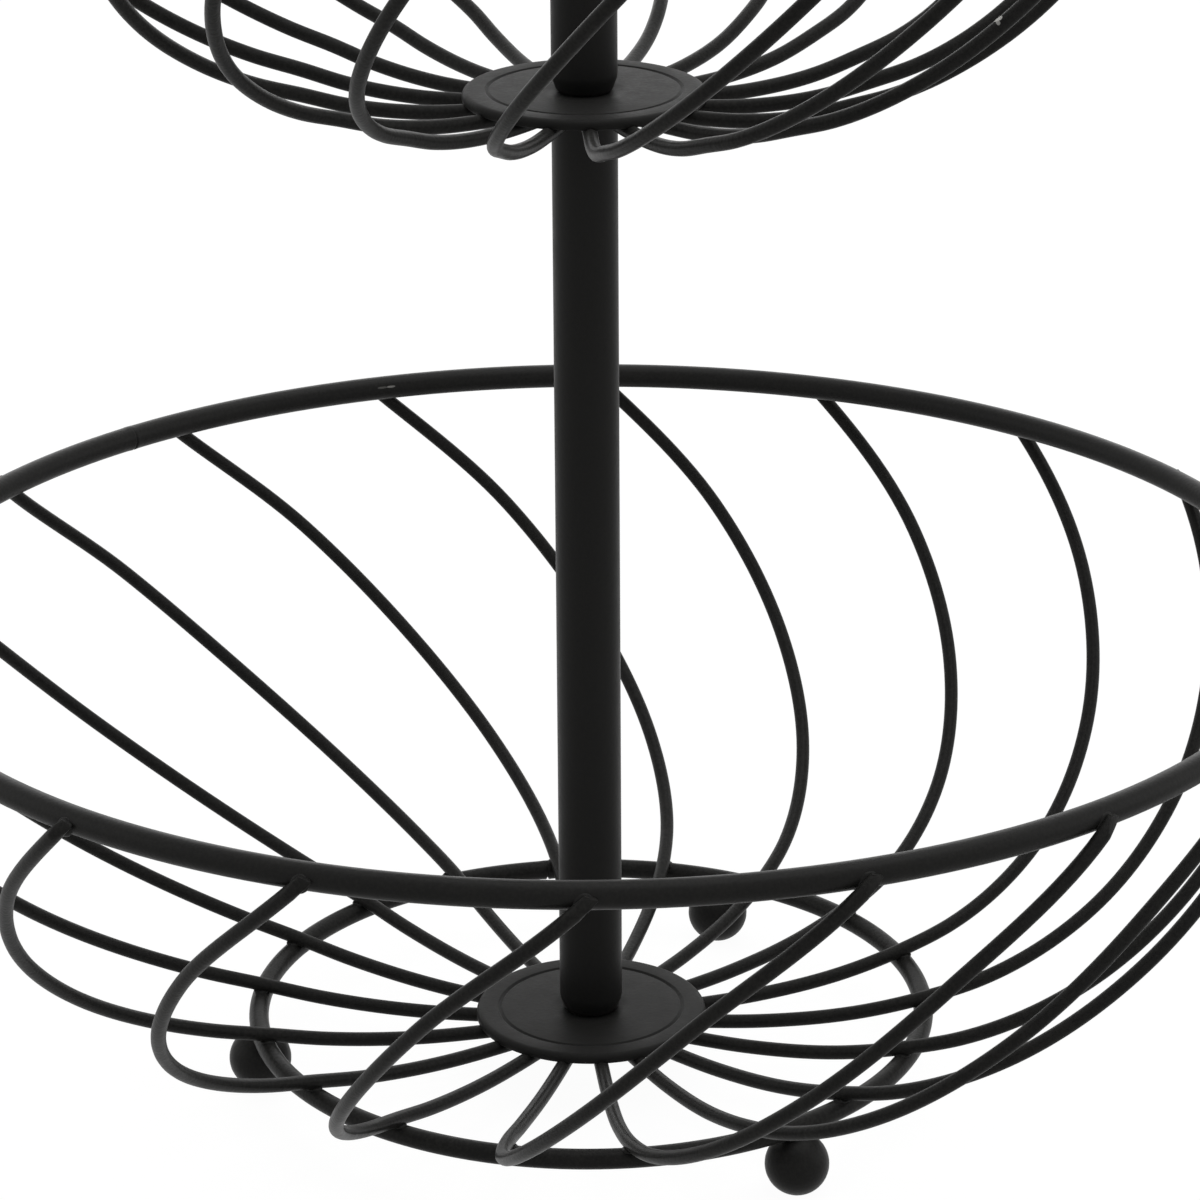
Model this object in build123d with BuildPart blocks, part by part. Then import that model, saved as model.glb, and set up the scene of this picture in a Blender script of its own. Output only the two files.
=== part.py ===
"""Two-tier wire basket on a centre column, in millimetres.

The origin lies on the table under the column, +Z points up, and +Y points away from the front.
Each bowl is welded from a rim, a pressed hub plate and swirled wires. A foot ring with three
balls carries the lower bowl, and screwed tubes carry the upper bowl and a lifting ring.
"""

import os
from math import cos, radians, sin, sqrt

from build123d import *

os.makedirs("parts", exist_ok=True)

# Overall sizes
lower_rim_diameter = 300.0
upper_rim_diameter = 240.0
lower_bowl_depth = 93.0
upper_bowl_depth = 84.0
tier_spacing = 202.0
upper_tube_length = 160.0

# Round stock, by diameter, and how deep a weld presses one piece into the next
rim_wire = 5.4
foot_ring_wire = 4.2
swirl_wire = 3.0
weld_sink = 0.4

# Foot ring and ball feet: the ring is measured to the centre of its wire
foot_ring_diameter = 142.0
ball_diameter = 13.2
ball_flat_depth = 0.4
ball_count = 3
first_ball_angle = 66.0

# Hub plates
plate_diameter = 49.0
plate_thickness = 2.0
plate_edge_radius = 1.2
plate_lower_edge_radius = 0.3
plate_recess_diameter = 40.0
plate_recess_depth = 0.4
plate_recess_wall_width = 0.8

# Column tubes, their swaged ends and the threaded plugs inside them
tube_diameter = 13.3
tube_wall = 1.2
tube_end_radius = 2.4
plug_length = 16.0
plug_clearance = 0.05

# Screws: one nominal thread size, drawn as plain rod
thread_diameter = 6.0
thread_clearance = 0.05
hole_clearance = 0.2
thread_chamfer = 0.6
screw_reach = 13.0
screw_head_diameter = 11.0
screw_head_height = 3.6
screw_head_round = 1.6
drive_slot_length = 6.0
drive_slot_width = 1.2
drive_slot_depth = 2.0
washer_diameter = 16.0
washer_thickness = 1.2

# Lifting ring: measured to the centre of its wire
handle_ring_diameter = 58.0
handle_collar_diameter = 10.0
handle_collar_height = 8.0
handle_collar_round = 1.6

# Swirled wires
wires_per_bowl = 18
lower_swirl_angle = 34.5
upper_swirl_angle = 39.5
lower_first_wire_angle = 9.8
upper_first_wire_angle = 12.2
wire_inner_radius = 14.0
wire_dip = 6.4

# Where a wire ends outside its rim: how far above the middle of the rim it is cut off level,
# and how thick the slope that is ground on it leaves it at that middle
wire_tip_rise = 0.6
ground_tip_thickness = 1.6
ground_tip_slope = 22.0

# Route of a wire from the plate's edge to the belly: radius share, height share, swirl share
floor_shares = [
    (0.28, 0.08, 0.00),
    (0.72, 0.50, 0.01),
]
# Route of a wire from the belly to the rim: radius share, height share, swirl share
wall_shares = [
    (0.15, 0.04, 0.07),
    (0.45, 0.18, 0.21),
    (0.71, 0.40, 0.41),
    (0.89, 0.67, 0.65),
]
belly_swirl_share = 0.03

# Heights from the table up, and the radii that the welded wires follow
foot_ring_radius = foot_ring_diameter / 2
foot_ring_height = ball_diameter - ball_flat_depth + foot_ring_wire / 2 - weld_sink
wire_over_ring_height = foot_ring_height + (foot_ring_wire + swirl_wire) / 2 - weld_sink
lower_plate_bottom = wire_over_ring_height - wire_dip + swirl_wire / 2 - weld_sink
lower_plate_top = lower_plate_bottom + plate_thickness
lower_rim_height = lower_plate_top + lower_bowl_depth
upper_plate_top = lower_plate_top + tier_spacing
upper_plate_bottom = upper_plate_top - plate_thickness
upper_rim_height = upper_plate_top + upper_bowl_depth

lower_tube_base = lower_plate_top - plate_recess_depth
upper_tube_base = upper_plate_top - plate_recess_depth
upper_tube_top = upper_tube_base + upper_tube_length
handle_ring_height = (
    upper_tube_top + handle_collar_height + (handle_ring_diameter + rim_wire) / 2 - weld_sink
)

lower_rim_radius = (lower_rim_diameter - rim_wire) / 2
upper_rim_radius = (upper_rim_diameter - rim_wire) / 2
wire_outside_rim = (rim_wire + swirl_wire) / 2 - weld_sink
bowl_scale = (upper_rim_radius + wire_outside_rim) / (lower_rim_radius + wire_outside_rim)
upper_belly_radius = foot_ring_radius * bowl_scale
upper_wire_dip = wire_dip * upper_bowl_depth / lower_bowl_depth


def wire_route(plate_bottom, dip, belly_radius, rim_radius, rim_height, swirl):
    """Points of one wire as radius, height and angle, from under the plate to past the rim."""
    low = plate_bottom - swirl_wire / 2 + weld_sink
    belly = low + dip
    edge = plate_diameter / 2
    tip_radius = rim_radius + wire_outside_rim
    route = [(wire_inner_radius, low, -swirl), (edge, low, -swirl)]
    for radius_share, height_share, swirl_share in floor_shares:
        radius = edge + radius_share * (belly_radius - edge)
        route.append((radius, low + height_share * dip, (swirl_share - 1) * swirl))
    route.append((belly_radius, belly, (belly_swirl_share - 1) * swirl))
    for radius_share, height_share, swirl_share in wall_shares:
        radius = belly_radius + radius_share * (tip_radius - belly_radius)
        height = belly + height_share * (rim_height - belly)
        route.append((radius, height, (swirl_share - 1) * swirl))
    route.append((tip_radius, rim_height, 0))
    overrun = wire_tip_rise + swirl_wire / 2
    route.append((tip_radius, rim_height + overrun, overrun / (rim_height - belly) * swirl))
    return route


def bend_directions(points):
    """Direction of travel at each point: the circle through it and its two neighbours."""
    directions = []
    for before, here, after in zip(points, points[1:], points[2:]):
        arriving = here - before
        leaving = after - here
        turn = arriving * (1 / arriving.length**2) + leaving * (1 / leaving.length**2)
        directions.append(turn.normalized())
    first_chord = (points[1] - points[0]).normalized()
    last_chord = (points[-1] - points[-2]).normalized()
    first = first_chord * (2 * first_chord.dot(directions[0])) - directions[0]
    last = last_chord * (2 * last_chord.dot(directions[-1])) - directions[-1]
    return [first] + directions + [last]


def tangent_arc_pair(start, start_direction, end, end_direction):
    """Two arcs that leave start and reach end in the given directions."""
    chord = end - start
    along = chord.dot(start_direction + end_direction)
    spread = 2 * (1 - start_direction.dot(end_direction))
    reach = chord.length**2 / (along + sqrt(along**2 + spread * chord.length**2))
    start_corner = start + start_direction * reach
    end_corner = end - end_direction * reach
    middle = (start_corner + end_corner) * 0.5
    TangentArc(start, middle, tangent=start_direction)
    TangentArc(middle, end, tangent=end_corner - start_corner)


def grinding_plane(rim_point, heading):
    """The plane that a wire's tip is ground down to: it slopes in towards the rim."""
    outward = Vector(rim_point.X, rim_point.Y, 0).normalized()
    along = (heading - outward * heading.dot(outward)).normalized()
    slope = radians(ground_tip_slope)
    origin = rim_point + outward * (ground_tip_thickness - swirl_wire / 2)
    return Plane(origin=origin, z_dir=outward * cos(slope) + along * sin(slope))


def bent_wire(route, rim_angle):
    """One swirled wire, swept along pairs of tangent arcs, with its tip cut and ground down."""
    points = []
    for radius, height, angle in route:
        turned = radians(angle + rim_angle)
        points.append(Vector(radius * cos(turned), radius * sin(turned), height))
    directions = bend_directions(points)
    with BuildPart() as wire:
        with BuildLine() as path:
            for index in range(len(points) - 1):
                tangent_arc_pair(
                    points[index], directions[index], points[index + 1], directions[index + 1]
                )
        with BuildSketch(Plane(origin=points[0], z_dir=directions[0])):
            Circle(swirl_wire / 2)
        sweep(path=path.line)
        split(bisect_by=Plane.XY.offset(points[-2].Z + wire_tip_rise), keep=Keep.BOTTOM)
        split(bisect_by=grinding_plane(points[-2], directions[-2]), keep=Keep.BOTTOM)
    return wire


def wire_hoop(radius, height, wire):
    """A closed ring of round wire about the column."""
    with BuildPart() as hoop:
        with BuildSketch(Plane.XZ):
            with Locations((radius, height)):
                Circle(wire / 2)
        revolve(axis=Axis.Z)
    return hoop


def hub_plate(bottom):
    """A pressed disc with a shallow round recess, whose wall slopes, and a hole for the thread."""
    top = bottom + plate_thickness
    recess_floor = top - plate_recess_depth
    recess_radius = plate_recess_diameter / 2
    with BuildPart() as plate:
        with BuildSketch(Plane.XY.offset(bottom)):
            Circle(plate_diameter / 2)
        extrude(amount=plate_thickness)
        fillet(plate.edges().group_by(Axis.Z)[-1], plate_edge_radius)
        fillet(plate.edges().group_by(Axis.Z)[0], plate_lower_edge_radius)
        with BuildSketch(Plane.XZ):
            with BuildLine():
                Polyline(
                    (0, recess_floor),
                    (recess_radius - plate_recess_wall_width, recess_floor),
                    (recess_radius, top),
                    (0, top),
                    close=True,
                )
            make_face()
        revolve(axis=Axis.Z, mode=Mode.SUBTRACT)
        with BuildSketch(Plane.XY.offset(bottom)):
            Circle(thread_diameter / 2 + hole_clearance)
        extrude(amount=plate_thickness, mode=Mode.SUBTRACT)
    return plate


def column_tube(base, length):
    """A tube whose ends are rolled in to a round shoulder with a hole for the thread."""
    outer = tube_diameter / 2
    bore = outer - tube_wall
    mouth = thread_diameter / 2 + hole_clearance
    with BuildPart() as tube:
        with BuildSketch(Plane.XZ):
            with Locations((0, base + length / 2)):
                RectangleRounded(2 * outer, length, tube_end_radius)
                RectangleRounded(
                    2 * bore, length - 2 * tube_wall, tube_end_radius - tube_wall, mode=Mode.SUBTRACT
                )
            with Locations((mouth, base + length / 2)):
                Rectangle(
                    outer + mouth, length, align=(Align.MAX, Align.CENTER), mode=Mode.SUBTRACT
                )
        revolve(axis=Axis.Z)
    return tube


def threaded_plug(base):
    """A round plug inside a tube's end, with a hole right through for the thread."""
    with BuildPart() as plug:
        with BuildSketch(Plane.XY.offset(base)):
            Circle(tube_diameter / 2 - tube_wall - plug_clearance)
        extrude(amount=plug_length)
        fillet(plug.edges().filter_by(GeomType.CIRCLE), tube_end_radius - tube_wall)
        with BuildSketch(Plane.XY.offset(base)):
            Circle(thread_diameter / 2 + thread_clearance)
        extrude(amount=plug_length, mode=Mode.SUBTRACT)
    return plug


def save(piece, name):
    """Label a finished piece and write its STEP file."""
    piece.part.label = name
    export_step(piece.part, f"parts/{name}.step")


# Lower bowl
lower_rim = wire_hoop(lower_rim_radius, lower_rim_height, rim_wire)
save(lower_rim, "lower_rim")

lower_plate = hub_plate(lower_plate_bottom)
save(lower_plate, "lower_plate")

lower_route = wire_route(
    lower_plate_bottom,
    wire_dip,
    foot_ring_radius,
    lower_rim_radius,
    lower_rim_height,
    lower_swirl_angle,
)
for number in range(wires_per_bowl):
    rim_angle = lower_first_wire_angle + number * 360 / wires_per_bowl
    save(bent_wire(lower_route, rim_angle), f"lower_wire_{number + 1:02d}")

# Foot ring and ball feet
foot_ring = wire_hoop(foot_ring_radius, foot_ring_height, foot_ring_wire)
save(foot_ring, "foot_ring")

ball_height = ball_diameter / 2 - ball_flat_depth
for number in range(ball_count):
    ball_angle = radians(first_ball_angle + number * 360 / ball_count)
    ball_x = foot_ring_radius * cos(ball_angle)
    ball_y = foot_ring_radius * sin(ball_angle)
    with BuildPart() as ball_foot:
        with Locations((ball_x, ball_y, ball_height)):
            Sphere(ball_diameter / 2)
        split(bisect_by=Plane.XY, keep=Keep.TOP)
    save(ball_foot, f"ball_foot_{number + 1}")

# Upper bowl
upper_rim = wire_hoop(upper_rim_radius, upper_rim_height, rim_wire)
save(upper_rim, "upper_rim")

upper_plate = hub_plate(upper_plate_bottom)
save(upper_plate, "upper_plate")

upper_route = wire_route(
    upper_plate_bottom,
    upper_wire_dip,
    upper_belly_radius,
    upper_rim_radius,
    upper_rim_height,
    upper_swirl_angle,
)
for number in range(wires_per_bowl):
    rim_angle = upper_first_wire_angle + number * 360 / wires_per_bowl
    save(bent_wire(upper_route, rim_angle), f"upper_wire_{number + 1:02d}")

# Column tubes and the plugs in their ends
lower_tube_length = upper_plate_bottom - lower_tube_base
lower_tube = column_tube(lower_tube_base, lower_tube_length)
save(lower_tube, "lower_tube")

upper_tube = column_tube(upper_tube_base, upper_tube_length)
save(upper_tube, "upper_tube")

lower_tube_base_plug = threaded_plug(lower_tube_base + tube_wall)
save(lower_tube_base_plug, "lower_tube_base_plug")

lower_tube_top_plug = threaded_plug(upper_plate_bottom - tube_wall - plug_length)
save(lower_tube_top_plug, "lower_tube_top_plug")

upper_tube_base_plug = threaded_plug(upper_tube_base + tube_wall)
save(upper_tube_base_plug, "upper_tube_base_plug")

upper_tube_top_plug = threaded_plug(upper_tube_top - tube_wall - plug_length)
save(upper_tube_top_plug, "upper_tube_top_plug")

# Base screw and its washer, which hold the lower plate against the lower tube
washer_bottom = lower_plate_bottom - washer_thickness
with BuildPart() as base_washer:
    with BuildSketch(Plane.XY.offset(washer_bottom)):
        Circle(washer_diameter / 2)
        Circle(thread_diameter / 2 + hole_clearance, mode=Mode.SUBTRACT)
    extrude(amount=washer_thickness)
save(base_washer, "base_washer")

head_bottom = washer_bottom - screw_head_height
screw_tip = lower_tube_base + tube_wall + screw_reach
with BuildPart() as base_screw:
    with BuildSketch(Plane.XY.offset(head_bottom)):
        Circle(screw_head_diameter / 2)
    extrude(amount=screw_head_height)
    fillet(base_screw.edges().group_by(Axis.Z)[0], screw_head_round)
    with BuildSketch(Plane.XY.offset(washer_bottom)):
        Circle(thread_diameter / 2)
    extrude(amount=screw_tip - washer_bottom)
    chamfer(base_screw.edges().group_by(Axis.Z)[-1], thread_chamfer)
    with BuildSketch(Plane.XY.offset(head_bottom)):
        Rectangle(drive_slot_length, drive_slot_width)
        Rectangle(drive_slot_width, drive_slot_length)
    extrude(amount=drive_slot_depth, mode=Mode.SUBTRACT)
save(base_screw, "base_screw")

# Joining stud: it passes through the upper plate and draws the two tubes together
stud_bottom = upper_plate_bottom - tube_wall - screw_reach
stud_top = upper_tube_base + tube_wall + screw_reach
with BuildPart() as joining_stud:
    with BuildSketch(Plane.XY.offset(stud_bottom)):
        Circle(thread_diameter / 2)
    extrude(amount=stud_top - stud_bottom)
    chamfer(joining_stud.edges().filter_by(GeomType.CIRCLE), thread_chamfer)
save(joining_stud, "joining_stud")

# Lifting ring on a turned stem that screws into the upper tube
stem_bottom = upper_tube_top - tube_wall - screw_reach
with BuildPart() as handle_stem:
    with BuildSketch(Plane.XY.offset(upper_tube_top)):
        Circle(handle_collar_diameter / 2)
    extrude(amount=handle_collar_height)
    fillet(handle_stem.edges().group_by(Axis.Z)[-1], handle_collar_round)
    with BuildSketch(Plane.XY.offset(stem_bottom)):
        Circle(thread_diameter / 2)
    extrude(amount=upper_tube_top - stem_bottom)
    chamfer(handle_stem.edges().group_by(Axis.Z)[0], thread_chamfer)
save(handle_stem, "handle_stem")

with BuildPart() as handle_ring:
    with BuildSketch(Plane.XY.offset(handle_ring_height)):
        with Locations((handle_ring_diameter / 2, 0)):
            Circle(rim_wire / 2)
    revolve(axis=Axis((0, 0, handle_ring_height), (0, 1, 0)))
save(handle_ring, "handle_ring")

print("lower rim centre height", round(lower_rim_height, 2))
print("upper rim centre height", round(upper_rim_height, 2))
print("overall height", round(handle_ring_height + (handle_ring_diameter + rim_wire) / 2, 2))
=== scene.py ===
from math import cos, exp, pi, radians, sin

import bmesh
import bpy
from mathutils import Matrix, Vector, noise


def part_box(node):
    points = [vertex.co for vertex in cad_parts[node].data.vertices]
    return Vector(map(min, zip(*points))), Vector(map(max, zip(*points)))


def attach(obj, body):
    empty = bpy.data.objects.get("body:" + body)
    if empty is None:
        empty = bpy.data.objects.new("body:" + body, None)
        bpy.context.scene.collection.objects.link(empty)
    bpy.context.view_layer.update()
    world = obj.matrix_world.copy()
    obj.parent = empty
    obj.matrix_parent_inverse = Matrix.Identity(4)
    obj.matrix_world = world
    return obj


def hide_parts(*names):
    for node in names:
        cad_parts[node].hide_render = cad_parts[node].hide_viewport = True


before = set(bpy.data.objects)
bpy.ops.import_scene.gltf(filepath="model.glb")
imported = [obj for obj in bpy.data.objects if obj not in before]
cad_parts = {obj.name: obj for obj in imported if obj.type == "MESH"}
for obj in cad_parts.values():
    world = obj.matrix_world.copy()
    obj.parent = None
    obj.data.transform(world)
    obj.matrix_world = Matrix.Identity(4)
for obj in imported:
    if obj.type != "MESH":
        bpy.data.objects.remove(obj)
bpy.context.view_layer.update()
mm = 0.001
upward = Vector((0, 0, 1))
near = {"merge": 1e-7, "plane": 1e-8, "hoop": 1e-6}  # metres: counts as one vertex, on a cut, on a hoop
noiseMiddle = 0.5  # every noise swings about this
body = "root"  # the row has no joints, so everything rides on one body


# Finishes: shader maths as Python expressions
class Signal:
    def __init__(self, finish, socket):
        self.finish = finish
        self.socket = socket

    def __add__(self, other):
        return self.finish.maths("ADD", self, other)

    def __mul__(self, other):
        return self.finish.maths("MULTIPLY", self, other)

    def __sub__(self, other):
        return self.finish.maths("SUBTRACT", self, other)

    def __rsub__(self, other):
        return self.finish.maths("SUBTRACT", other, self)

    __radd__ = __add__
    __rmul__ = __mul__


class Finish:
    def __init__(self, name):
        self.material = bpy.data.materials.new(name)
        self.material.use_nodes = True
        self.tree = self.material.node_tree
        self.tree.nodes.clear()
        self.place = self.node("ShaderNodeTexCoord", out="Object")

    def node(self, kind, settings=None, sockets=None, out=0):
        made = self.tree.nodes.new(kind)
        for key, value in (settings or {}).items():
            setattr(made, key, value)
        for key, value in (sockets or {}).items():
            if isinstance(value, Signal):
                self.tree.links.new(value.socket, made.inputs[key])
            else:
                made.inputs[key].default_value = value
        return Signal(self, made.outputs[out])

    def maths(self, operation, first, second):
        return self.node("ShaderNodeMath", {"operation": operation}, {0: first, 1: second})

    def noise(self, scale, detail=2.0, roughness=0.5):
        sockets = {"Vector": self.place, "Scale": scale, "Detail": detail, "Roughness": roughness}
        return self.node("ShaderNodeTexNoise", sockets=sockets)

    def window(self, value, low, high):
        # 0 below low, 1 above high, smooth between
        sockets = {"Value": value, "From Min": low, "From Max": high}
        return self.node("ShaderNodeMapRange", {"interpolation_type": "SMOOTHSTEP"}, sockets)

    def mix(self, mask, first, second):
        # colours: first where the mask is 0, second where it is 1
        sockets = {0: mask, 6: first, 7: second}
        return self.node("ShaderNodeMix", {"data_type": "RGBA"}, sockets, out=2)

    def patch(self, middle, along, halfLength, halfWidth, core=0.4):
        # a small oval patch along a direction: 1 in its core, fading to 0 at its edge
        offset = self.node("ShaderNodeVectorMath", {"operation": "SUBTRACT"}, {0: self.place, 1: middle})
        apart = self.node("ShaderNodeVectorMath", {"operation": "LENGTH"}, {0: offset}, out="Value")
        run = self.node(
            "ShaderNodeVectorMath", {"operation": "DOT_PRODUCT"}, {0: offset, 1: along}, out="Value"
        )
        lengthwise = run * run
        across = apart * apart - lengthwise
        reach = lengthwise * (1 / halfLength**2) + across * (1 / halfWidth**2)
        return 1 - self.window(reach, core, 1.0)

    def close(self, shader):
        output = self.tree.nodes.new("ShaderNodeOutputMaterial")
        self.tree.links.new(shader.socket, output.inputs["Surface"])
        return self.material


def colour(red, green, blue):
    return (red, green, blue, 1.0)


# Black powder coat
coat = {
    "deep": colour(0.0160, 0.0158, 0.0152),  # sunk grain, linear colours throughout
    "raised": colour(0.0258, 0.0253, 0.0238),  # tops of the grain
    "chip": colour(0.62, 0.61, 0.58),  # bright specks where the coat is knocked
    "drift": {"scale": 16.0, "detail": 2.0},  # slow change of tone over several centimetres
    "mottle": {"scale": 240.0, "detail": 3.0},  # patches of about 4 mm
    "grain": {"scale": 1350.0, "detail": 3.0, "roughness": 0.55},  # specks of about 0.7 mm
    "peel": {"scale": 1150.0, "detail": 1.0},  # bumps of about 0.9 mm
    "fray": {"scale": 4200.0, "detail": 3.0, "roughness": 0.6},  # ragged edges of the chips
    "toneShares": {"grain": 0.65, "mottle": 0.2, "drift": 0.15},
    "toneWindow": (0.40, 0.62),
    "roughnessSwing": {"mottle": 0.14, "grain": 0.16, "drift": 0.10},
    "mottleBump": 0.3,
    "frayFloor": 0.1,
    "frayGain": 1.5,
    "chipWindow": (0.30, 0.70),
    "chipRoughness": 0.15,  # what a bare chip adds to the roughness
}


def powderCoat(name, look):
    finish = Finish(name)
    drift = finish.noise(**coat["drift"])
    mottle = finish.noise(**coat["mottle"])
    grain = finish.noise(**coat["grain"])
    peel = finish.noise(**coat["peel"])
    share, swing = coat["toneShares"], coat["roughnessSwing"]
    raised = grain * share["grain"] + mottle * share["mottle"] + drift * share["drift"]
    raised = finish.window(raised, *coat["toneWindow"])
    tone = finish.mix(raised * look["speckle"], coat["deep"], coat["raised"])
    roughness = (
        look["roughness"]
        + (mottle - noiseMiddle) * swing["mottle"]
        + (grain - noiseMiddle) * swing["grain"]
        + (drift - noiseMiddle) * swing["drift"]
    )
    for middle, along, halfLength, halfWidth, strength in look.get("chips", ()):
        fray = coat["frayFloor"] + finish.noise(**coat["fray"]) * coat["frayGain"]
        bare = finish.patch(middle, along, halfLength, halfWidth) * fray
        bare = finish.window(bare, *coat["chipWindow"]) * strength
        tone = finish.mix(bare, tone, coat["chip"])
        roughness = roughness + bare * coat["chipRoughness"]
    bump = finish.node(
        "ShaderNodeBump",
        sockets={
            "Strength": look["peel"],
            "Distance": look["peelDepth"],
            "Height": peel + mottle * coat["mottleBump"],
        },
    )
    shader = finish.node(
        "ShaderNodeBsdfPrincipled",
        sockets={
            "Base Color": tone,
            "Roughness": roughness,
            "Specular IOR Level": look["gloss"],
            "Normal": bump,
        },
    )
    return finish.close(shader)


coatLooks = {
    "wire": {"roughness": 0.38, "speckle": 0.75, "peel": 0.8, "peelDepth": 0.07 * mm, "gloss": 0.055},
    "rim": {"roughness": 0.38, "speckle": 0.4, "peel": 0.8, "peelDepth": 0.05 * mm, "gloss": 0.075},
    "plate": {"roughness": 0.52, "speckle": 0.1, "peel": 0.6, "peelDepth": 0.05 * mm, "gloss": 0.06},
    "tube": {"roughness": 0.42, "speckle": 0.1, "peel": 0.6, "peelDepth": 0.04 * mm, "gloss": 0.08},
    "ball": {"roughness": 0.42, "speckle": 0.4, "peel": 0.7, "peelDepth": 0.06 * mm, "gloss": 0.07},
}
rimScuff = {
    "radius": 144.76 * mm,  # on the inner side of the lower rim, a little above its middle
    "height": 108.30 * mm,
    "halfWidth": 0.30 * mm,
    "marks": [(108.45, 1.30 * mm, 0.38), (109.30, 1.40 * mm, 0.15)],  # angle, half length, strength
}
chippedPiece = "upperWire18"
wireChip = [
    # middle, direction, half length, half width, strength: a cap and a short stem
    ((77.28 * mm, -54.84 * mm, 243.81 * mm), (0.709, -0.495, 0.502), 1.20 * mm, 0.74 * mm, 1.0),
    ((77.22 * mm, -55.57 * mm, 243.36 * mm), (0.319, -0.760, -0.566), 0.75 * mm, 0.50 * mm, 0.60),
]


def scuffMark(angle, halfLength, strength):
    turn = radians(angle)
    middle = (rimScuff["radius"] * cos(turn), rimScuff["radius"] * sin(turn), rimScuff["height"])
    return middle, (-sin(turn), cos(turn), 0.0), halfLength, rimScuff["halfWidth"], strength


rimMarks = [scuffMark(*mark) for mark in rimScuff["marks"]]
coatLooks["scuffedRim"] = dict(coatLooks["rim"], chips=rimMarks)
coatLooks["chippedWire"] = dict(coatLooks["wire"], chips=wireChip)
coats = {key: powderCoat("powderCoat_" + key, look) for key, look in coatLooks.items()}
print("stage: black powder coat mixed")


# Zinc-plated steel for the screw, washer, plugs and stud
zinc = {
    "bright": colour(0.56, 0.57, 0.58),
    "dull": colour(0.36, 0.37, 0.385),
    "cloud": {"scale": 130.0, "detail": 3.0},
    "scratch": {"scale": 900.0, "detail": 4.0, "roughness": 0.6},
    "cloudShare": 0.7,
    "scratchShare": 0.3,
    "dullWindow": (0.38, 0.62),
    "roughness": 0.30,
    "dullRoughness": 0.14,
    "scratchRoughness": 0.10,
    "bump": 0.3,
    "bumpDepth": 0.05 * mm,
}


def zincPlate(name):
    finish = Finish(name)
    cloud = finish.noise(**zinc["cloud"])
    scratch = finish.noise(**zinc["scratch"])
    dulled = cloud * zinc["cloudShare"] + scratch * zinc["scratchShare"]
    dulled = finish.window(dulled, *zinc["dullWindow"])
    bump = finish.node(
        "ShaderNodeBump",
        sockets={"Strength": zinc["bump"], "Distance": zinc["bumpDepth"], "Height": scratch},
    )
    uneven = (scratch - noiseMiddle) * zinc["scratchRoughness"]
    shader = finish.node(
        "ShaderNodeBsdfPrincipled",
        sockets={
            "Base Color": finish.mix(dulled, zinc["bright"], zinc["dull"]),
            "Roughness": zinc["roughness"] + dulled * zinc["dullRoughness"] + uneven,
            "Metallic": 1.0,
            "Normal": bump,
        },
    )
    return finish.close(shader)


zincSteel = zincPlate("zincPlate")
steelNodes = [
    "base_screw",
    "base_washer",
    "joining_stud",
    "lower_tube_base_plug",
    "lower_tube_top_plug",
    "upper_tube_base_plug",
    "upper_tube_top_plug",
]
for name in steelNodes:
    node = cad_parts[name]
    node.data.materials.clear()
    node.data.materials.append(zincSteel)
print("stage: zinc plate on", len(steelNodes), "screws and plugs")


# Shared modelling steps
def finishPiece(name, mesh, material, nodes=()):
    for face in mesh.polygons:
        face.use_smooth = True
    mesh.materials.clear()
    mesh.materials.append(material)
    piece = bpy.data.objects.new(name, mesh)
    bpy.context.scene.collection.objects.link(piece)
    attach(piece, body)
    if nodes:
        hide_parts(*nodes)
    return piece


def meshFrom(bm, name):
    bmesh.ops.remove_doubles(bm, verts=bm.verts, dist=near["merge"])
    bmesh.ops.recalc_face_normals(bm, faces=bm.faces)
    mesh = bpy.data.meshes.new(name)
    bm.to_mesh(mesh)
    bm.free()
    return mesh


def turnedProfile(bm, corners, steps):
    # corners are (radius, height) of a closed outline, spun round the column
    verts = [bm.verts.new((radius, 0, height)) for radius, height in corners]
    edges = [bm.edges.new((verts[i - 1], verts[i])) for i in range(len(verts))]
    bmesh.ops.spin(
        bm, geom=verts + edges, cent=(0, 0, 0), axis=(0, 0, 1), angle=2 * pi, steps=steps, use_merge=True
    )
    bmesh.ops.remove_doubles(bm, verts=bm.verts, dist=near["merge"])
    bmesh.ops.recalc_face_normals(bm, faces=bm.faces)


def roundEdge(bm, radius, height, offset, segments):
    # rounds the hoop of edges that lies at this radius and height
    hoop = [
        edge
        for edge in bm.edges
        if all(
            abs(vert.co.xy.length - radius) < near["hoop"] and abs(vert.co.z - height) < near["hoop"]
            for vert in edge.verts
        )
    ]
    bmesh.ops.bevel(
        bm, geom=hoop, offset=offset, offset_type="OFFSET", segments=segments,
        profile=0.5, affect="EDGES", material=-1,
    )


# Rims, foot ring and lifting ring: bent rod, closed with a butt weld
hoops = {
    "steps": 240,
    "sides": 28,
    "seamSwell": 0.09 * mm,  # how far the upset metal of the weld stands out
    "seamReach": 1.1 * mm,
    "seamGroove": 0.60 * mm,  # crack left in the middle of the weld, deepest below
    "seamCrack": 0.18 * mm,
    "seamSpan": 3 * mm,  # what the weld shapes, to either side of its middle
    "seamZone": 6 * mm,  # what is searched for faces to cut
    "seamCuts": (  # rings cut in beside the weld, mm along
        -2.4, -1.6, -1.1, -0.7, -0.4, -0.25, -0.14, 0.0,
        0.14, 0.25, 0.4, 0.7, 1.1, 1.6, 2.4,
    ),
    "seamAngles": {"lowerRim": 134.95, "upperRim": 118.0, "footRing": 98.0, "liftingRing": -78.0},
}


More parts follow.
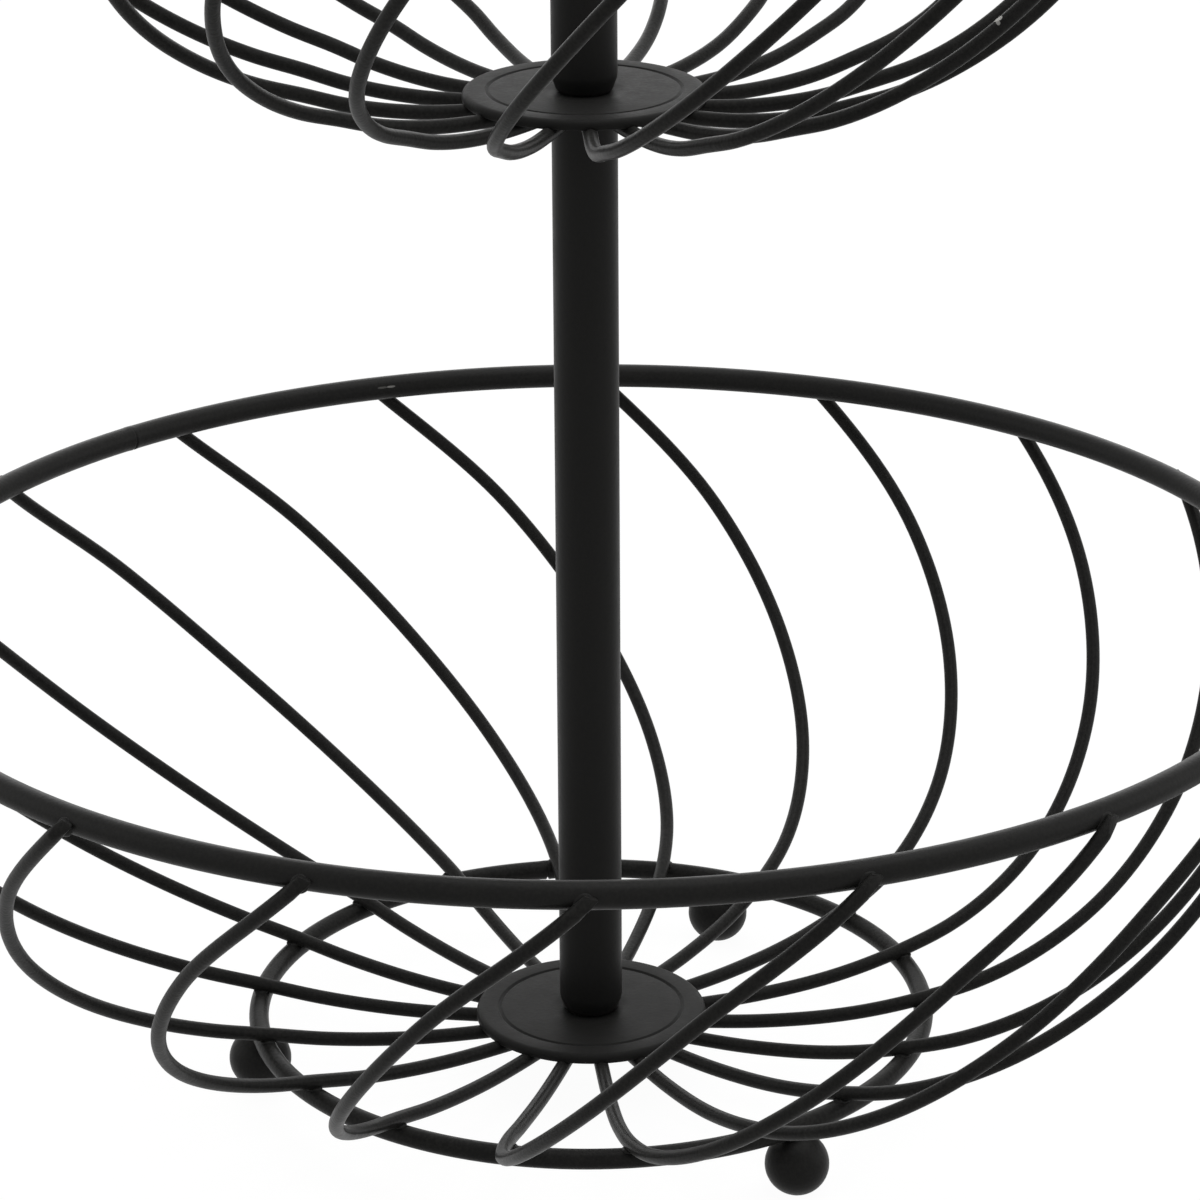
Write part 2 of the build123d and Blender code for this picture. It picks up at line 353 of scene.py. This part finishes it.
def rodHoop(bm, ringRadius, rodRadius):
    # a hoop about Z at height 0, with its butt weld on +X
    section = bmesh.ops.create_circle(bm, segments=hoops["sides"], radius=rodRadius)["verts"]
    bmesh.ops.rotate(bm, verts=section, cent=(0, 0, 0), matrix=Matrix.Rotation(pi / 2, 3, "X"))
    bmesh.ops.translate(bm, verts=section, vec=(ringRadius, 0, 0))
    halfStep = Matrix.Rotation(pi / hoops["steps"], 3, "Z")
    bmesh.ops.rotate(bm, verts=section, cent=(0, 0, 0), matrix=halfStep)
    edges = list({edge for vert in section for edge in vert.link_edges})
    bmesh.ops.spin(
        bm, geom=section + edges, cent=(0, 0, 0), axis=(0, 0, 1),
        angle=2 * pi, steps=hoops["steps"], use_merge=True,
    )
    for along in hoops["seamCuts"]:
        faces = []
        for face in bm.faces:
            centre = face.calc_center_median()
            if centre.x > 0 and abs(centre.y) < hoops["seamZone"]:
                faces.append(face)
        verts = list({vert for face in faces for vert in face.verts})
        edges = list({edge for face in faces for edge in face.edges})
        bmesh.ops.bisect_plane(
            bm, geom=verts + edges + faces, dist=near["plane"],
            plane_co=(ringRadius, along * mm, 0), plane_no=(0, 1, 0),
        )
    for vert in bm.verts:
        if vert.co.x > 0 and abs(vert.co.y) < hoops["seamSpan"]:
            middle = Vector((ringRadius, vert.co.y, 0))
            outward = (vert.co - middle).normalized()
            along = vert.co.y / hoops["seamReach"]
            depth = 0.5 - 0.5 * outward.z  # deepest on the underside
            groove = hoops["seamGroove"] * depth * exp(-((vert.co.y / hoops["seamCrack"]) ** 2))
            vert.co += outward * (hoops["seamSwell"] * exp(-along * along) - groove)


def hoopFromNode(name, node, material, standing=False):
    low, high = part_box(node)
    rodRadius = (high.y - low.y) / 2 if standing else (high.z - low.z) / 2
    ringRadius = (high.x - low.x) / 2 - rodRadius
    middle = (low + high) / 2
    bm = bmesh.new()
    rodHoop(bm, ringRadius, rodRadius)
    turn = Matrix.Rotation(radians(hoops["seamAngles"][name]), 4, "Z")
    if standing:
        turn = Matrix.Rotation(pi / 2, 4, "X") @ turn
    bmesh.ops.transform(bm, verts=bm.verts, matrix=Matrix.Translation(middle) @ turn)
    finishPiece(name, meshFrom(bm, name), material, [node])
    return ringRadius, rodRadius, middle.z


lowerRimRadius, _, lowerRimHeight = hoopFromNode("lowerRim", "lower_rim", coats["scuffedRim"])
upperRimRadius, rimRod, upperRimHeight = hoopFromNode("upperRim", "upper_rim", coats["rim"])
footRingRadius, footRod, footRingHeight = hoopFromNode("footRing", "foot_ring", coats["wire"])
hoopFromNode("liftingRing", "handle_ring", coats["rim"], standing=True)
print("stage: rims, foot ring and lifting ring bent")


# Swirled wires: the source's route, as one smooth curve
swirl = {
    "perBowl": 18,
    "rod": 3.0 * mm,
    "weldSink": 0.4 * mm,
    "innerRadius": 14.0 * mm,
    "dip": 6.4 * mm,
    "plateEdge": 24.5 * mm,
    "bellySwirl": 0.03,
    "tipRise": 0.85 * mm,  # how far beyond the middle of the rim the tip is cut off
    "tipLean": 35.0,  # degrees that the cut leans along the wire
    "tipInset": 0.22 * mm,
    "tipInsets": 2,  # rings cut into each face of the tip, so that it can be rubbed round
    "tipReach": 2.2 * mm,  # how far down the wire the tip is rubbed round
    "tipRubs": 8,
    "rubStrength": 0.5,
    "groundThickness": 1.75 * mm,  # what the ground slope leaves at the middle of the rim
    "groundSlope": 22.0,  # degrees
    "hubEndRound": 0.25 * mm,
    # points of the route as shares of radius, height and swirl: plate to belly, and belly to rim
    "floor": [(0.28, 0.08, 0.00), (0.72, 0.50, 0.01)],
    "wall": [(0.15, 0.04, 0.07), (0.45, 0.18, 0.21), (0.71, 0.40, 0.41), (0.89, 0.67, 0.65)],
    "roundSides": 8,  # bevel resolution of the round section
    "fineness": 14,  # rings for each stretch of the curve
}
bowls = {
    "lower": {"swirl": 34.5, "first": 9.8, "dip": swirl["dip"], "belly": footRingRadius},
    "upper": {"swirl": 39.5, "first": 12.2},
}
wireOutside = rimRod + swirl["rod"] / 2 - swirl["weldSink"]
bowlScale = (upperRimRadius + wireOutside) / (lowerRimRadius + wireOutside)
bowls["upper"]["belly"] = footRingRadius * bowlScale
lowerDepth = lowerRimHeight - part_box("lower_plate")[1].z
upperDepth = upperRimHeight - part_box("upper_plate")[1].z
bowls["upper"]["dip"] = swirl["dip"] * upperDepth / lowerDepth


def wireRoute(bowl, plateBottom, rimRadius, rimHeight):
    low = plateBottom - swirl["rod"] / 2 + swirl["weldSink"]
    belly = low + bowl["dip"]
    edge = swirl["plateEdge"]
    tip = rimRadius + wireOutside
    stops = [(swirl["innerRadius"], low, -1), (edge, low, -1)]
    for out, up, turn in swirl["floor"]:
        stops.append((edge + out * (bowl["belly"] - edge), low + up * bowl["dip"], turn - 1))
    stops.append((bowl["belly"], belly, swirl["bellySwirl"] - 1))
    for out, up, turn in swirl["wall"]:
        radius = bowl["belly"] + out * (tip - bowl["belly"])
        stops.append((radius, belly + up * (rimHeight - belly), turn - 1))
    stops.append((tip, rimHeight, 0))
    overrun = swirl["tipRise"] + swirl["rod"] / 2
    stops.append((tip, rimHeight + overrun, overrun / (rimHeight - belly)))
    route = []
    for radius, height, turn in stops:
        angle = radians(bowl["swirl"] * turn)
        route.append(Vector((radius * cos(angle), radius * sin(angle), height)))
    return route


def bendDirections(route):
    # heading at each point: the circle through it and its two neighbours
    headings = []
    for before, here, after in zip(route, route[1:], route[2:]):
        arriving, leaving = here - before, after - here
        turn = arriving / arriving.length_squared + leaving / leaving.length_squared
        headings.append(turn.normalized())
    first = (route[1] - route[0]).normalized()
    last = (route[-1] - route[-2]).normalized()
    start = first * (2 * first.dot(headings[0])) - headings[0]
    end = last * (2 * last.dot(headings[-1])) - headings[-1]
    return [start] + headings + [end]


def cutOff(bm, place, facing):
    # takes off what lies beyond a plane and closes the cut
    everything = bm.verts[:] + bm.edges[:] + bm.faces[:]
    cut = bmesh.ops.bisect_plane(
        bm, geom=everything, dist=near["plane"], plane_co=place, plane_no=facing, clear_outer=True
    )
    edges = [item for item in cut["geom_cut"] if isinstance(item, bmesh.types.BMEdge)]
    return bmesh.ops.edgeloop_fill(bm, edges=edges)["faces"]


def grindTip(bm, rimPoint, heading):
    # the tip is cut off, ground to a slope towards the rim, and softened by the coat
    outward = Vector((rimPoint.x, rimPoint.y, 0)).normalized()
    along = (heading - outward * heading.dot(outward)).normalized()
    slope = radians(swirl["groundSlope"])
    lean = radians(swirl["tipLean"])
    facing = upward * cos(lean) + along * sin(lean)
    caps = cutOff(bm, rimPoint + facing * swirl["tipRise"], facing)
    ground = rimPoint + outward * (swirl["groundThickness"] - swirl["rod"] / 2)
    caps += cutOff(bm, ground, outward * cos(slope) + along * sin(slope))
    caps = [face for face in caps if face.is_valid]
    for inset in range(swirl["tipInsets"]):
        bmesh.ops.inset_individual(bm, faces=caps, thickness=swirl["tipInset"])
    reach = rimPoint - heading * swirl["tipReach"]
    tip = [vert for vert in bm.verts if (vert.co - reach).dot(heading) > 0]
    for rub in range(swirl["tipRubs"]):
        bmesh.ops.smooth_vert(
            bm, verts=tip, factor=swirl["rubStrength"], use_axis_x=True, use_axis_y=True, use_axis_z=True
        )


def bentWireMesh(name, route):
    headings = bendDirections(route)
    curve = bpy.data.curves.new(name + "Line", "CURVE")
    curve.dimensions = "3D"
    curve.resolution_u = swirl["fineness"]
    curve.bevel_depth = swirl["rod"] / 2
    curve.bevel_resolution = swirl["roundSides"]
    spline = curve.splines.new("BEZIER")
    spline.bezier_points.add(len(route) - 1)
    for index, point in enumerate(spline.bezier_points):
        point.co = route[index]
        reachBack = (route[index] - route[max(index - 1, 0)]).length / 3
        reachOn = (route[min(index + 1, len(route) - 1)] - route[index]).length / 3
        point.handle_left = route[index] - headings[index] * (reachBack or reachOn)
        point.handle_right = route[index] + headings[index] * (reachOn or reachBack)
    line = bpy.data.objects.new(name + "Line", curve)
    bpy.context.scene.collection.objects.link(line)
    swept = bpy.data.meshes.new_from_object(line)
    bpy.data.objects.remove(line)
    bm = bmesh.new()
    bm.from_mesh(swept)
    bmesh.ops.remove_doubles(bm, verts=bm.verts, dist=near["merge"])
    openEdges = [edge for edge in bm.edges if edge.is_boundary]
    bmesh.ops.edgeloop_fill(bm, edges=openEdges)
    bmesh.ops.recalc_face_normals(bm, faces=bm.faces)
    grindTip(bm, route[-2], headings[-2])
    hubCap = min(bm.faces, key=lambda face: (face.calc_center_median() - route[0]).length)
    bmesh.ops.bevel(
        bm, geom=list(hubCap.edges), offset=swirl["hubEndRound"],
        offset_type="OFFSET", segments=3, profile=0.5, affect="EDGES", material=-1,
    )
    return bm, headings


def settle(bm, name, angle):
    turned = bm.copy()
    turn = Matrix.Rotation(angle, 3, "Z")
    bmesh.ops.rotate(turned, verts=turned.verts, cent=(0, 0, 0), matrix=turn)
    return meshFrom(turned, name)


# Welds: small mounds of metal under the coat
welds = {
    "balls": 3,  # subdivisions of the starting ball
    "ripple": 0.09 * mm,
    "rippleScale": 900.0,
    "rimSize": (2.2 * mm, 1.9 * mm, 0.80 * mm),  # half length, half width, half height
    "rimDrop": 0.9 * mm,  # how far below the tip the weld's middle is
    "rimSink": 0.05 * mm,  # how far inside the wire's surface it is
    "plateRadius": 20.5 * mm,  # from the column's axis to the welds under a hub plate
    "plateDrop": 0.1 * mm,
    "ringInset": 0.01 * mm,  # keeps the foot ring's welds on the inner stretch of the route
    "ringSink": 0.2 * mm,
    "neckSink": 0.1 * mm,  # for the balls and the stem
    "seedStep": 7.3,  # a different ripple on each weld
    "footSeedStep": 3.1,
    "stemSeed": 5.0,
    "ringSize": (1.7 * mm, 2.0 * mm, 0.62 * mm),
    "plateSize": (3.4 * mm, 2.1 * mm, 0.75 * mm),
    "footSize": (2.9 * mm, 2.3 * mm, 1.15 * mm),
    "stemSize": (3.4 * mm, 2.7 * mm, 1.1 * mm),
}


def weldMound(bm, middle, along, outward, size, seed):
    ball = bmesh.ops.create_icosphere(bm, subdivisions=welds["balls"], radius=1.0)["verts"]
    side = along.cross(outward).normalized()
    outward = side.cross(along).normalized()
    axes = Matrix((along.normalized(), side, outward)).transposed()
    for vert in ball:
        shape = Vector((vert.co.x * size[0], vert.co.y * size[1], vert.co.z * size[2]))
        place = middle + axes @ shape
        wander = noise.noise(place * welds["rippleScale"] + Vector((seed, 0, 0)))
        vert.co = place + (axes @ vert.co) * (wander * welds["ripple"])


def weldsAround(name, middle, along, outward, size, angles, material):
    bm = bmesh.new()
    for number, angle in enumerate(angles):
        turn = Matrix.Rotation(angle, 3, "Z")
        weldMound(bm, turn @ middle, turn @ along, turn @ outward, size, number * welds["seedStep"])
    finishPiece(name, meshFrom(bm, name), material)


def closestOnRoute(route, radius):
    # the place on the wire's line at this distance from the column, and its heading
    for start, end in zip(route, route[1:]):
        inner, outer = start.xy.length, end.xy.length
        if inner <= radius <= outer:
            return start.lerp(end, (radius - inner) / (outer - inner)), (end - start).normalized()


for title, bowl in bowls.items():
    rimRadius = lowerRimRadius if title == "lower" else upperRimRadius
    rimHeight = lowerRimHeight if title == "lower" else upperRimHeight
    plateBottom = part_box(title + "_plate")[0].z
    route = wireRoute(bowl, plateBottom, rimRadius, rimHeight)
    oneWire, headings = bentWireMesh(title + "Wire", route)
    angles = [radians(bowl["first"] + 360 / swirl["perBowl"] * k) for k in range(swirl["perBowl"])]
    for number, angle in enumerate(angles, 1):
        name = f"{title}Wire{number:02d}"
        finish = coats["chippedWire"] if name == chippedPiece else coats["wire"]
        finishPiece(name, settle(oneWire, name, angle), finish, [f"{title}_wire_{number:02d}"])
    oneWire.free()

    rimPoint, heading = route[-2], headings[-2]
    outward = Vector((rimPoint.x, rimPoint.y, 0)).normalized()
    rimSpot = rimPoint - heading * welds["rimDrop"] - outward * (swirl["rod"] / 2 - welds["rimSink"])
    weldsAround(title + "RimWelds", rimSpot, heading, outward, welds["rimSize"], angles, coats["rim"])

    plateSpot, plateHeading = closestOnRoute(route, welds["plateRadius"])
    plateSpot = Vector((plateSpot.x, plateSpot.y, plateBottom - welds["plateDrop"]))
    weldsAround(
        title + "PlateWelds", plateSpot, plateHeading, upward, welds["plateSize"], angles, coats["wire"]
    )
    if title == "lower":
        ringSpot, ringHeading = closestOnRoute(route, footRingRadius - welds["ringInset"])
        ringSpot = Vector((ringSpot.x, ringSpot.y, footRingHeight + footRod - welds["ringSink"]))
        flat = Vector((ringHeading.x, ringHeading.y, 0))
        weldsAround("footRingWelds", ringSpot, flat, upward, welds["ringSize"], angles, coats["rim"])
    print("stage:", title, "bowl wired and welded")


# Hub plates: pressed discs with a turned-down edge and a dished middle inside a pressed groove
hub = {
    "radius": 24.5 * mm,
    "recess": 0.4 * mm,  # depth of the dish under the tube, and of the groove
    "grooveRadius": 19.95 * mm,  # its outer edge
    "grooveWidth": 0.95 * mm,
    "grooveFloor": 0.25 * mm,
    "dishEdge": 0.04 * mm,  # how far the dish starts below the land
    "dishFlat": 9.0 * mm,
    "hole": 3.2 * mm,
    "topEdge": 1.2 * mm,
    "lowerEdge": 0.3 * mm,
    "grooveRound": 0.12 * mm,
    "steps": 144,
}
for title in bowls:
    low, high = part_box(title + "_plate")
    sunk = high.z - hub["recess"]
    dishTop = high.z - hub["dishEdge"]
    grooveInside = hub["grooveRadius"] - hub["grooveWidth"]
    wallWidth = (hub["grooveWidth"] - hub["grooveFloor"]) / 2
    bm = bmesh.new()
    corners = [
        (hub["hole"], low.z), (hub["radius"], low.z), (hub["radius"], high.z),
        (hub["grooveRadius"], high.z), (hub["grooveRadius"] - wallWidth, sunk),
        (grooveInside + wallWidth, sunk), (grooveInside, dishTop),
        (hub["dishFlat"], sunk), (hub["hole"], sunk),
    ]
    turnedProfile(bm, corners, hub["steps"])
    roundEdge(bm, hub["radius"], high.z, hub["topEdge"], segments=7)
    roundEdge(bm, hub["radius"], low.z, hub["lowerEdge"], segments=3)
    roundEdge(bm, hub["grooveRadius"], high.z, hub["grooveRound"], segments=3)
    roundEdge(bm, grooveInside, dishTop, hub["grooveRound"], segments=3)
    finishPiece(title + "Plate", meshFrom(bm, title + "Plate"), coats["plate"], [title + "_plate"])
print("stage: hub plates pressed")


# Column tubes with rolled-in ends
column = {
    "wall": 1.2 * mm,
    "mouth": 3.2 * mm,
    "taperHeight": 3.1 * mm,  # the ends are rolled in to a short taper
    "taperDepth": 1.15 * mm,
    "taperRound": 0.8 * mm,
    "insideRound": 1.2 * mm,
    "steps": 64,
}
for title in bowls:
    low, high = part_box(title + "_tube")
    outer = (high.x - low.x) / 2
    bore = outer - column["wall"]
    floorInside, roofInside = low.z + column["wall"], high.z - column["wall"]
    bm = bmesh.new()
    foot = outer - column["taperDepth"]
    taper = column["taperHeight"]
    corners = [
        (column["mouth"], low.z), (foot, low.z), (outer, low.z + taper),
        (outer, high.z - taper), (foot, high.z),
        (column["mouth"], high.z), (column["mouth"], roofInside), (bore, roofInside),
        (bore, floorInside), (column["mouth"], floorInside),
    ]
    turnedProfile(bm, corners, column["steps"])
    for height, shoulder in ((low.z, low.z + taper), (high.z, high.z - taper)):
        roundEdge(bm, foot, height, column["taperRound"], segments=4)
        roundEdge(bm, outer, shoulder, column["taperRound"], segments=4)
    for height in (floorInside, roofInside):
        roundEdge(bm, bore, height, column["insideRound"], segments=4)
    finishPiece(title + "Tube", meshFrom(bm, title + "Tube"), coats["tube"], [title + "_tube"])
print("stage: column tubes rolled")


# Ball feet, ground flat where they stand
feet = {"numbers": (1, 2, 3), "flatRound": 0.2 * mm, "segments": 48, "rows": 32}
for number in feet["numbers"]:
    name = f"ballFoot{number}"
    low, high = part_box(f"ball_foot_{number}")
    radius = (high.x - low.x) / 2
    middle = Vector(((low.x + high.x) / 2, (low.y + high.y) / 2, high.z - radius))
    bm = bmesh.new()
    bmesh.ops.create_uvsphere(bm, u_segments=feet["segments"], v_segments=feet["rows"], radius=radius)
    bmesh.ops.translate(bm, verts=bm.verts, vec=middle)
    everything = bm.verts[:] + bm.edges[:] + bm.faces[:]
    cut = bmesh.ops.bisect_plane(
        bm, geom=everything, dist=near["plane"],
        plane_co=(0, 0, low.z), plane_no=(0, 0, -1), clear_outer=True,
    )
    rimEdges = [item for item in cut["geom_cut"] if isinstance(item, bmesh.types.BMEdge)]
    bmesh.ops.edgeloop_fill(bm, edges=rimEdges)
    bmesh.ops.bevel(
        bm, geom=rimEdges, offset=feet["flatRound"], offset_type="OFFSET", segments=2,
        profile=0.5, affect="EDGES", material=-1,
    )
    finishPiece(name, meshFrom(bm, name), coats["ball"], [f"ball_foot_{number}"])
bm = bmesh.new()
for number in feet["numbers"]:
    low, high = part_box(f"ball_foot_{number}")
    neck = Vector(((low.x + high.x) / 2, (low.y + high.y) / 2, high.z - welds["neckSink"]))
    along = Vector((-neck.y, neck.x, 0))
    weldMound(bm, neck, along, upward, welds["footSize"], number * welds["footSeedStep"])
finishPiece("ballFootWelds", meshFrom(bm, "ballFootWelds"), coats["ball"])
print("stage: ball feet ground and welded")


# Lifting ring's stem: a collar above the tube, with a thread below
stem = {
    "collar": 5.0 * mm,
    "thread": 3.0 * mm,
    "threadEnd": 0.6 * mm,
    "topRound": 1.6 * mm,
    "lowerRound": 0.3 * mm,
    "steps": 64,
}
low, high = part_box("handle_stem")
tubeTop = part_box("upper_tube")[1].z
bm = bmesh.new()
corners = [
    (0, low.z), (stem["thread"] - stem["threadEnd"], low.z),
    (stem["thread"], low.z + stem["threadEnd"]), (stem["thread"], tubeTop),
    (stem["collar"], tubeTop), (stem["collar"], high.z), (0, high.z),
]
turnedProfile(bm, corners, stem["steps"])
roundEdge(bm, stem["collar"], high.z, stem["topRound"], segments=6)
roundEdge(bm, stem["collar"], tubeTop, stem["lowerRound"], segments=2)
finishPiece("liftingStem", meshFrom(bm, "liftingStem"), coats["tube"], ["handle_stem"])
bm = bmesh.new()
neck = Vector((0, 0, high.z - welds["neckSink"]))
weldMound(bm, neck, Vector((1, 0, 0)), upward, welds["stemSize"], welds["stemSeed"])
finishPiece("stemWeld", meshFrom(bm, "stemWeld"), coats["rim"])
print("stage: lifting ring's stem turned")


# Floor, light and camera
studio = {
    "floorSize": 8.0,
    "floorTones": (colour(0.62, 0.62, 0.61), colour(0.66, 0.66, 0.65)),
    "floorCloud": {"scale": 3.0, "detail": 2.0},
    "floorShade": 0.88,  # share of plain white that the camera sees on the floor
    "floorGlow": 1.09,  # brings what the camera sees of the floor up to white
    "fill": 0.28,  # world light on the object
    "backdrop": 1.0,  # strength of the white that the camera sees behind the floor
    "lamps": {
        # place, aimed at, width, height, watts
        "overheadSoftbox": ((0.25, 0.15, 1.55), (0.0, 0.0, 0.1), 1.5, 1.2, 10.0),
        "backPanel": ((0.0, 1.7, 0.75), (0.0, 0.0, 0.15), 2.6, 1.3, 12.0),
        "rightPanel": ((1.6, -0.1, 0.75), (0.0, 0.0, 0.15), 1.2, 1.2, 4.0),
        "leftPanel": ((-1.6, 0.0, 0.70), (0.0, 0.0, 0.15), 1.2, 1.2, 3.0),
    },
}
camera = {
    "place": (0.0006, -0.9310, 0.4650),
    "turn": (68.98, 0.34, -0.245),  # degrees
    "lens": 144.35,
    "sensor": 36.0,
    "farEnd": 50.0,
}

floorFinish = Finish("paleFloor")
ray = floorFinish.node("ShaderNodeLightPath", out="Is Camera Ray")
for kind in ("Is Glossy Ray", "Is Transmission Ray"):
    ray = floorFinish.maths("MAXIMUM", ray, floorFinish.node("ShaderNodeLightPath", out=kind))
shade = floorFinish.noise(**studio["floorCloud"])
plain = floorFinish.node(
    "ShaderNodeBsdfDiffuse", sockets={"Color": floorFinish.mix(shade, *studio["floorTones"])}
)
white = floorFinish.node(
    "ShaderNodeEmission", sockets={"Color": colour(1, 1, 1), "Strength": studio["floorGlow"]}
)
floorFinish.close(
    floorFinish.node("ShaderNodeMixShader", sockets={0: ray * studio["floorShade"], 1: plain, 2: white})
)
bm = bmesh.new()
bmesh.ops.create_grid(bm, x_segments=1, y_segments=1, size=studio["floorSize"] / 2)
floorMesh = bpy.data.meshes.new("floor")
bm.to_mesh(floorMesh)
bm.free()
floorMesh.materials.append(floorFinish.material)
floor = bpy.data.objects.new("floor", floorMesh)
bpy.context.scene.collection.objects.link(floor)

world = bpy.data.worlds.new("studioWorld")
world.use_nodes = True
nodes, links = world.node_tree.nodes, world.node_tree.links
nodes.clear()
path = nodes.new("ShaderNodeLightPath")
dim = nodes.new("ShaderNodeBackground")
dim.inputs["Color"].default_value = colour(1, 1, 1)
dim.inputs["Strength"].default_value = studio["fill"]
bright = nodes.new("ShaderNodeBackground")
bright.inputs["Color"].default_value = colour(1, 1, 1)
bright.inputs["Strength"].default_value = studio["backdrop"]
choose = nodes.new("ShaderNodeMixShader")
output = nodes.new("ShaderNodeOutputWorld")
seen = path.outputs["Is Camera Ray"]
for kind in ("Is Glossy Ray", "Is Transmission Ray"):
    either = nodes.new("ShaderNodeMath")
    either.operation = "MAXIMUM"
    links.new(seen, either.inputs[0])
    links.new(path.outputs[kind], either.inputs[1])
    seen = either.outputs[0]
links.new(seen, choose.inputs[0])
links.new(dim.outputs[0], choose.inputs[1])
links.new(bright.outputs[0], choose.inputs[2])
links.new(choose.outputs[0], output.inputs["Surface"])
bpy.context.scene.world = world

for name, (place, aim, width, height, watts) in studio["lamps"].items():
    lamp = bpy.data.lights.new(name, "AREA")
    lamp.shape = "RECTANGLE"
    lamp.size = width
    lamp.size_y = height
    lamp.energy = watts
    lampObject = bpy.data.objects.new(name, lamp)
    lampObject.location = place
    lampObject.rotation_euler = (Vector(aim) - Vector(place)).to_track_quat("-Z", "Y").to_euler()
    lampObject.visible_camera = False
    bpy.context.scene.collection.objects.link(lampObject)

cameraData = bpy.data.cameras.new("camera")
cameraData.lens = camera["lens"]
cameraData.sensor_width = camera["sensor"]
cameraData.clip_end = camera["farEnd"]
cameraObject = bpy.data.objects.new("camera", cameraData)
cameraObject.location = camera["place"]
cameraObject.rotation_euler = [radians(angle) for angle in camera["turn"]]
bpy.context.scene.collection.objects.link(cameraObject)
bpy.context.scene.camera = cameraObject
bpy.context.scene.view_settings.view_transform = "Standard"
print("stage: floor, light and camera set")
